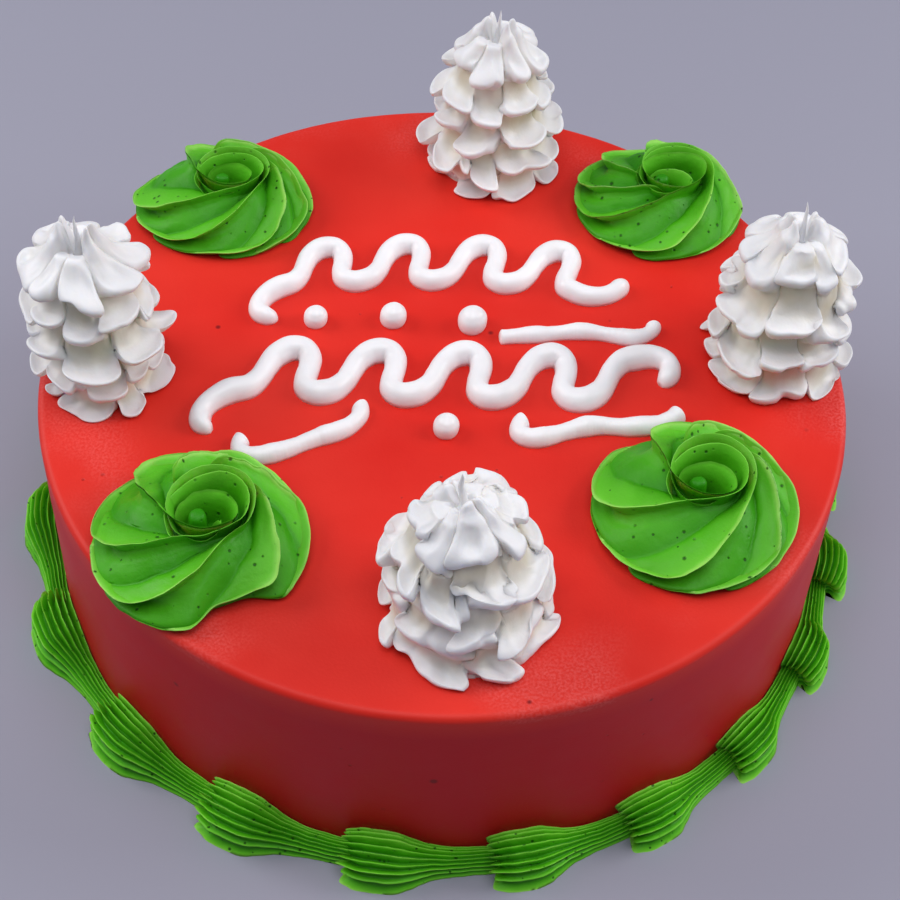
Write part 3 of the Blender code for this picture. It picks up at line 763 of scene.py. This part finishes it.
def tower_form():
    """Stack of pressed star shapes: columns of scooped, drooping petals under pointed petals round a thin spike."""
    form = Form("cream_tower", TOWER_SHEET, "Middle X", "Middle Y", "Radius", "Height", "Lean X", "Lean Y",
                "First crease", "Spread", "Slump", "Layers", "Seed")
    x, y, radius, height, lean_x, lean_y, first, spread, slump, layers, seed = form.given
    petals_start, petals_end = TOWER_PETAL_ROWS
    columns = float(TOWER_COLUMNS)
    around = form.around * TURN
    softer = (slump - 1.0).least(0.0)

    # columns that sway a little between crown and foot
    skin_place = form.vector(around.cos(), around.sin(), form.along * TOWER_SKIN_LENGTH)
    sway = form.ripple(skin_place, TOWER_SWAY_SCALE, seed)
    sag = form.ripple(skin_place, TOWER_SAG_SCALE, seed + 9.0)
    calm = form.along.smooth(0.10, 0.30) * (1.0 - form.along.smooth(0.90, 0.94))
    place = (form.around * columns + sway * slump * calm * TOWER_SWAY) % columns
    column = (place + NUDGE).floor() % columns
    across = (place - column).clamp()
    arch = (across * math.pi).sin().least(0.0)
    lobe = arch ** TOWER_CREASE_ROUND
    degrees = first * (360.0 / TURN)

    # petals
    level = form.along.part(petals_start, petals_end) * (layers - TOWER_LEAST_LEVEL) + TOWER_LEAST_LEVEL
    level = (level + sag * slump * calm * TOWER_SAG).least(TOWER_LEAST_LEVEL).most(layers)
    layer = level.floor().most(layers - 1.0)
    share = level - layer
    other = form.uneven(column + degrees, layer + 7.3)
    size = 1.0 + form.uneven(column + degrees, layer) * TOWER_UNEVEN
    stagger = ((column % 2.0) - 0.5) * lobe * (level * math.pi / layers).sin() * TOWER_STAGGER
    down = form.read(TOWER_LEVEL, ((level + stagger) / layers).clamp())
    push = form.read(TOWER_PUSH, share)
    firm = 1.0 - softer * down * 2.0
    lip = (push * size * TOWER_LIP_PUSH - TOWER_LIP_SINK) * firm
    side = arch ** TOWER_SIDE_ROUND * TOWER_SIDE + TOWER_SIDE_LEAST
    tilt = (across - 0.5) * other * TOWER_TILT
    reach = form.read(TOWER_OUTLINE, down) * (1.0 + (down * 2.0 - 1.0) * spread)
    reach = reach * (1.0 - (1.0 - lobe) * firm * TOWER_CREASE + lip * (1.0 + tilt) * side * TOWER_LIP)
    drop = form.read(TOWER_DROP, share) * size * (side + tilt * arch) * firm * TOWER_DROOP / (layers * height)
    up = (1.0 - down) * TOWER_SHOULDER
    rise = up - drop.most(up * TOWER_MOST_DROOP)

    # crown: every second pair of columns ends in a high point
    crown = form.along.part(0.0, TOWER_CROWN_END)
    pair = (place * 0.5 + NUDGE).floor()
    point = ((place * 0.5 - pair) * math.pi).sin().least(0.0) ** CROWN_POINT_ROUND
    point = point * (1.0 - CROWN_PARTING + lobe * CROWN_PARTING)
    high = (1.0 - pair % 2.0) * (1.0 + form.uneven(pair + degrees, 9.0) * CROWN_UNEVEN) * (2.0 - slump).most(1.0)
    peak = CROWN_LEAST_PEAK + high * CROWN_HIGH_PEAK
    crown_reach = form.read(CROWN_REACH, crown) - (1.0 - lobe) * crown.smooth(0.50, 0.80) * CROWN_CREASE
    crown_rise = form.read(CROWN_RISE, crown) + form.read(CROWN_PEAK, crown) * point * peak
    crown_rise = crown_rise - softer * crown.smooth(0.50, 1.0) * CROWN_SLUMP
    blend = form.along.smooth(petals_start, 0.27)
    reach = crown_reach.mix(reach, blend)
    rise = crown_rise.mix(rise, blend)

    foot = form.along.part(petals_end, TOWER_FOOT_END)
    under = form.along.part(TOWER_FOOT_END, 1.0)
    rise = rise.least(0.0) * (1.0 - foot)
    shrink = (1.0 - foot * (1.0 - TOWER_FOOT)) * (1.0 - under)
    angle = first + around + other * lobe * push * blend * TOWER_SWING
    angle = angle - (across * TURN).sin() * (push * blend * calm * (TOWER_WIDEN * TURN / TOWER_COLUMNS))
    this_turn, next_turn = (form.uneven((layer + ahead) * 3.1, seed) for ahead in (0.0, 1.0))
    twist = this_turn.mix(next_turn, share.smooth(0.78, 1.0)) * blend * (1.0 - foot)
    angle = angle + twist * (TOWER_TWIST * TURN / TOWER_COLUMNS)
    out = radius * reach * shrink
    # painted shade for the finish: darker in the creases and deep between the petals, lighter on the pushed-out lips
    skin = form.mark(form.sheet, "rise", (lobe * push * 0.9 + 0.1).mix(lobe * 0.8 + 0.2, 1.0 - blend))
    skin = form.move(skin, Position=form.vector(
        x + lean_x * rise + out * angle.cos(), y + lean_y * rise + out * angle.sin(), rise * height + DECK))
    form.finish(form.roughen(skin, TOWER_ROUGH, seed, slump))
    return form


def shell_form():
    """One ribbed border shell: a fanned head that laps over the tail before it, drawn out to a thin tail."""
    form = Form("border_shell", SHELL_SHEET, "Start", "End", "Size", "Seed")
    start, end, size, seed = form.given
    arch_end, side_end = SHELL_COLUMN_ENDS
    mouth_end, skin_end = SHELL_ROWS
    last = math.pi * SHELL_ARCH
    arch = form.around.part(0.0, arch_end)
    side = form.around.part(arch_end, side_end)
    under = form.around.part(side_end, 1.0)
    closed = form.along.part(0.0, mouth_end) * (1.0 - form.along).part(0.0, 1.0 - skin_end)
    row = form.along.part(mouth_end, skin_end) ** SHELL_ROW_BUNCH
    ridge = arch * float(SHELL_RIDGES)
    crest = 1.0 - ((ridge.fract() * math.pi).sin().least(0.0) ** SHELL_CREST_ROUND)
    swell = form.read(SHELL_SWELL, row)
    turn = arch * last
    lean = 1.0 - math.cos(last)

    def section(width, height, groove):
        """How far out and up the ribbed section reaches."""
        depth = (1.0 - crest) * groove
        out = width * (turn.cos() * (1.0 - depth) - math.cos(last)) / lean
        up = height * (1.0 - depth) * turn.sin().least(0.0) ** SHELL_FULL
        return out.mix(width, under), up * (1.0 - side)

    wander = form.ripple(form.vector(ridge.floor() * 2.3, row * 3.0, seed), 2.0, seed, 3.0)
    mouth_out, mouth_up = section(SHELL_TAIL_WIDTH * SHELL_MOUTH, SHELL_TAIL_HEIGHT * SHELL_MOUTH, SHELL_MOUTH_GROOVE)
    width = SHELL_TAIL_WIDTH + (size * SHELL_HEAD_WIDTH - SHELL_TAIL_WIDTH) * swell
    height = SHELL_TAIL_HEIGHT + (size * SHELL_HEAD_HEIGHT - SHELL_TAIL_HEIGHT) * swell
    out, up = section(width, height, SHELL_GROOVE * (1.0 + wander * SHELL_GROOVE_UNEVEN))
    grown = row.smooth(0.0, SHELL_MOUTH_END)
    out, up = mouth_out.mix(out, grown), mouth_up.mix(up, grown)
    clear = (((out - mouth_out) ** 2.0 + (up - mouth_up) ** 2.0) ** 0.5) / (SHELL_HEAD_WIDTH - SHELL_TAIL_WIDTH)
    teeth = SHELL_LAP_LEAST + crest * SHELL_LAP_TEETH + wander * SHELL_LAP_UNEVEN
    back = (1.0 - row / SHELL_LAP_END).clamp() * (clear * SHELL_LAP_GROWTH).most(1.0) * teeth
    angle = start + (end - start) * row - back * (SHELL_LAP / CAKE_RADIUS)
    far = out * closed + SHELL_OFF_SIDE + CAKE_RADIUS
    # painted shade in the grooves between the ribs, lighter on the crests
    skin = form.mark(form.sheet, "rise", crest * 0.85 + 0.1 + wander * 0.08)
    skin = form.move(skin, Position=form.vector(far * angle.cos(), far * angle.sin(), up * closed))
    form.finish(form.keep_up(form.roughen(skin, SHELL_ROUGH, seed)))
    return form


def line_form():
    """Piped line along a path: a rounded bead, fuller at the bends, with soft rounded ends."""
    form = Form("piped_line", LINE_SHEET, "Width", "Rise", "Swells", "Middle first", "Middle last", "Seed")
    width, rise, swells, middle_first, middle_last, seed = form.given
    smooth_path = form.node("GeometryNodeCurveSplineType", {"Curve": form.source.outputs["Path"]},
                            spline_type="CATMULL_ROM")
    fine_path = form.node("GeometryNodeResampleCurve", {"Curve": smooth_path.outputs[0], "Count": LINE_STEPS})
    sample = form.node("GeometryNodeSampleCurve", {"Curves": fine_path.outputs[0], "Factor": form.along},
                       mode="FACTOR", use_all_curves=True)
    x, y, _ = form.split(sample.outputs["Position"])
    ahead_x, ahead_y, _ = form.split(sample.outputs["Tangent"])
    share = (form.along - middle_first) / (middle_last - middle_first)
    swell = 1.0 + (share * swells * (2 * TURN)).cos() * LINE_SWELL
    wobble = form.ripple(form.vector(form.along * 9.0, seed, 0.0), 2.0, seed, 2.0)
    ends = form.along.part(0.0, LINE_END) * (1.0 - form.along).part(0.0, LINE_END)
    ends = (1.0 - (1.0 - ends) ** 2.0) ** 0.5
    half = width * 0.5 * swell * (1.0 + wobble * LINE_WOBBLE) * ends
    turn = form.around * TURN
    up = turn.sin().least(0.0) ** LINE_FULL
    side = turn.cos()
    skin = form.mark(form.sheet, "rise", up)
    skin = form.move(skin, Position=form.vector(
        x + ahead_y * half * side, y - ahead_x * half * side, up * half * rise * 2.0 + DECK))
    form.finish(form.roughen(skin, LINE_ROUGH, seed))
    return form


def drop_form():
    """Small piped drop with a soft, slightly leaning tip."""
    form = Form("piped_drop", DROP_SHEET, "Middle X", "Middle Y", "Radius", "Rise", "Seed")
    x, y, radius, rise, seed = form.given
    angle = form.around * TURN
    reach = radius * form.read(DROP_REACH, form.along)
    up = form.read(DROP_UP, form.along)
    skin = form.mark(form.sheet, "rise", up)
    skin = form.move(skin, Position=form.vector(
        x + reach * angle.cos() + up * DROP_LEAN, y + reach * angle.sin(), up * radius * rise * 2.0 + DECK))
    form.finish(form.roughen(skin, DROP_ROUGH, seed))
    return form


def line_points(line):
    """Points of a piped line: a swinging, arched middle with an ever tighter curl at each end."""
    step = line.length / line.count
    headings = []
    for i in range(line.count):
        share = (i + 0.5) / line.count
        wave = line.swing * math.sin(TURN * line.waves * share)
        headings.append(math.radians(line.tilt + line.arch * (0.5 - share) + wave))
    first, last = headings[0], headings[-1]
    for i in range(line.curl_count):
        tighter = (0.5 + (i + 0.5) / line.curl_count) / line.curl_count
        first -= math.radians(line.first_curl) * tighter
        last += math.radians(line.last_curl) * tighter
        headings.insert(0, first)
        headings.append(last)
    here = Vector((0.0, 0.0))
    points = [here]
    for i, heading in enumerate(headings):
        past = max(0, line.curl_count - i, i - line.curl_count - line.count + 1) / line.curl_count
        stride = step * LINE_CURL_STEP * (1.0 - LINE_CURL_TIGHTEN * past) if past > 0 else step
        here = here + stride * Vector((math.cos(heading), math.sin(heading)))
        points.append(here)
    middle = points[line.curl_count:line.curl_count + line.count + 1]
    centre = sum(middle, Vector((0.0, 0.0))) / len(middle)
    place = Vector((line.x, line.y))
    return [place + Vector((p.x - centre.x + LINE_SLANT * (p.y - centre.y), p.y - centre.y)) for p in points]


def line_path(line):
    """The line's middle as a plain path, and the shares of its length where its first curl ends and its last starts."""
    points = line_points(line)
    path = bpy.data.curves.new(line.name, "CURVE")
    path.dimensions = "3D"
    spline = path.splines.new("POLY")
    spline.points.add(len(points) - 1)
    for point, place in zip(spline.points, points):
        point.co = (place.x, place.y, 0.0, 1.0)
    runs = [0.0]
    for a, b in zip(points, points[1:]):
        runs.append(runs[-1] + (b - a).length)
    return path, runs[line.curl_count] / runs[-1], runs[-1 - line.curl_count] / runs[-1]


def shell_start(number):
    """Angle where a border shell starts, with the hand's slow sway in spacing."""
    even = 360.0 * number / SHELL_COUNT
    sway = SHELL_SWAY * math.sin(math.radians(even + SHELL_SWAY_PHASE))
    return math.radians(SHELL_FIRST_ANGLE + even + sway)


def make_cake():
    """Grows every piece of the cake in its finish."""
    icing = red_icing()
    # in both green creams dark is painted shade, light is painted light and edge is a painted highlight
    rosette_cream = green_cream("green_cream", dark=(0.022, 0.225, 0.001), middle=(0.058, 0.370, 0.005),
                                light=(0.130, 0.530, 0.026), edge=(0.300, 0.720, 0.110), pit_scale=400.0)
    border_cream = green_cream("green_border", dark=(0.018, 0.180, 0.001), middle=(0.068, 0.420, 0.005),
                               light=(0.155, 0.590, 0.024), edge=(0.300, 0.720, 0.090), pit_scale=500.0)
    cream = white_cream()
    piping = white_piping()

    cake_form().grow("icing", icing, "red_icing", "cake_body", {
        "Radius": CAKE_RADIUS, "Height": CAKE_HEIGHT, "Edge round": TOP_EDGE_ROUND, "Foot round": FOOT_EDGE_ROUND,
        "Seed": CAKE_SEED})
    form = rosette_form()
    for r in ROSETTES:
        form.grow(f"cream_rosette_{r.name}", rosette_cream, "green_cream", f"rosette_{r.name}", {
            "Middle X": r.x, "Middle Y": r.y, "Half width": r.half_width, "Half depth": r.half_depth,
            "Height": r.height, "Shift X": r.shift_x, "Shift Y": r.shift_y, "Dent side": math.radians(r.dent_side),
            "Dent": r.dent, "Raggedness": r.ragged, "Seed": r.seed,
            **{f"Arm {number + 1}": math.radians(arm) for number, arm in enumerate(r.arms)}})
    form = tower_form()
    for t in TOWERS:
        form.grow(f"cream_tower_{t.name}", cream, "white_cream", f"tower_{t.name}", {
            "Middle X": t.x, "Middle Y": t.y, "Radius": t.radius, "Height": t.height, "Lean X": t.lean_x,
            "Lean Y": t.lean_y, "First crease": math.radians(t.first), "Spread": t.spread, "Slump": t.slump,
            "Layers": t.layers, "Seed": t.seed})
    form = shell_form()
    for number in range(SHELL_COUNT):
        size = 1.0 + SHELL_UNEVEN * math.sin(DRAW_STEPS[0] * number + DRAW_START)
        form.grow(f"cream_shell_{number + 1:02d}", border_cream, "green_border", f"border_shell_{number + 1:02d}", {
            "Start": shell_start(number), "End": shell_start(number + 1) + SHELL_OVERLAP / CAKE_RADIUS, "Size": size,
            "Seed": number * SHELL_SEED_STEP})
    form = line_form()
    for number, line in enumerate(LINES):
        path, middle_first, middle_last = line_path(line)
        form.grow(f"piped_{line.name}", piping, "white_piping", line.name, {
            "Width": line.width, "Rise": LINE_RISE, "Swells": line.waves, "Middle first": middle_first,
            "Middle last": middle_last, "Seed": number + 1.0}, path)
    form = drop_form()
    for d in DROPS:
        form.grow(f"piped_{d.name}", piping, "white_piping", d.name, {
            "Middle X": d.x, "Middle Y": d.y, "Radius": d.radius, "Rise": DROP_RISE, "Seed": d.seed})


# Stage


def make_floor():
    """Pale floor."""
    material = bpy.data.materials.new("pale_floor")
    material.use_nodes = True
    shader = material.node_tree.nodes["Principled BSDF"]
    shader.inputs["Base Color"].default_value = (*FLOOR_COLOUR, 1.0)
    shader.inputs["Roughness"].default_value = 0.6
    mesh = bpy.data.meshes.new("floor")
    corners = [(x * FLOOR_HALF, y * FLOOR_HALF, 0.0) for x, y in ((-1, -1), (1, -1), (1, 1), (-1, 1))]
    mesh.from_pydata(corners, [], [(0, 1, 2, 3)])
    mesh.materials.append(material)
    floor = bpy.data.objects.new("floor", mesh)
    bpy.context.scene.collection.objects.link(floor)


def make_lights():
    """Soft room light and three soft lamps."""
    room = bpy.data.worlds.new("soft_room")
    room.use_nodes = True
    background = room.node_tree.nodes["Background"]
    background.inputs["Color"].default_value = (*ROOM_COLOUR, 1.0)
    background.inputs["Strength"].default_value = ROOM_STRENGTH
    bpy.context.scene.world = room
    for name, place, power, size, colour in LAMPS:
        light = bpy.data.lights.new(name, "AREA")
        light.energy, light.size, light.color = power, size, colour
        lamp = bpy.data.objects.new(name, light)
        bpy.context.scene.collection.objects.link(lamp)
        lamp.location = place
        lamp.rotation_euler = (Vector(LAMP_TARGET) - Vector(place)).to_track_quat("-Z", "Y").to_euler()


def make_camera():
    """Camera at the photo's angle."""
    camera = bpy.data.cameras.new("camera")
    camera.lens, camera.sensor_width = CAMERA_LENS, CAMERA_SENSOR
    camera.shift_x = CAMERA_SHIFT
    camera.clip_start = CAMERA_NEAR
    eye = bpy.data.objects.new("camera", camera)
    bpy.context.scene.collection.objects.link(eye)
    level = math.cos(CAMERA_PITCH)
    ahead = Vector((math.sin(CAMERA_YAW) * level, math.cos(CAMERA_YAW) * level, -math.sin(CAMERA_PITCH)))
    right = ahead.cross(Vector((0.0, 0.0, 1.0))).normalized()
    up = right.cross(ahead)
    tilted_right = math.cos(CAMERA_ROLL) * right + math.sin(CAMERA_ROLL) * up
    tilted_up = -math.sin(CAMERA_ROLL) * right + math.cos(CAMERA_ROLL) * up
    pose = Matrix((tilted_right, tilted_up, -ahead)).transposed().to_4x4()
    pose.translation = Vector(CAMERA_PLACE)
    eye.matrix_world = pose
    bpy.context.scene.camera = eye


make_cake()
bpy.context.scene.view_settings.view_transform = "Standard"
make_floor()
make_lights()
make_camera()
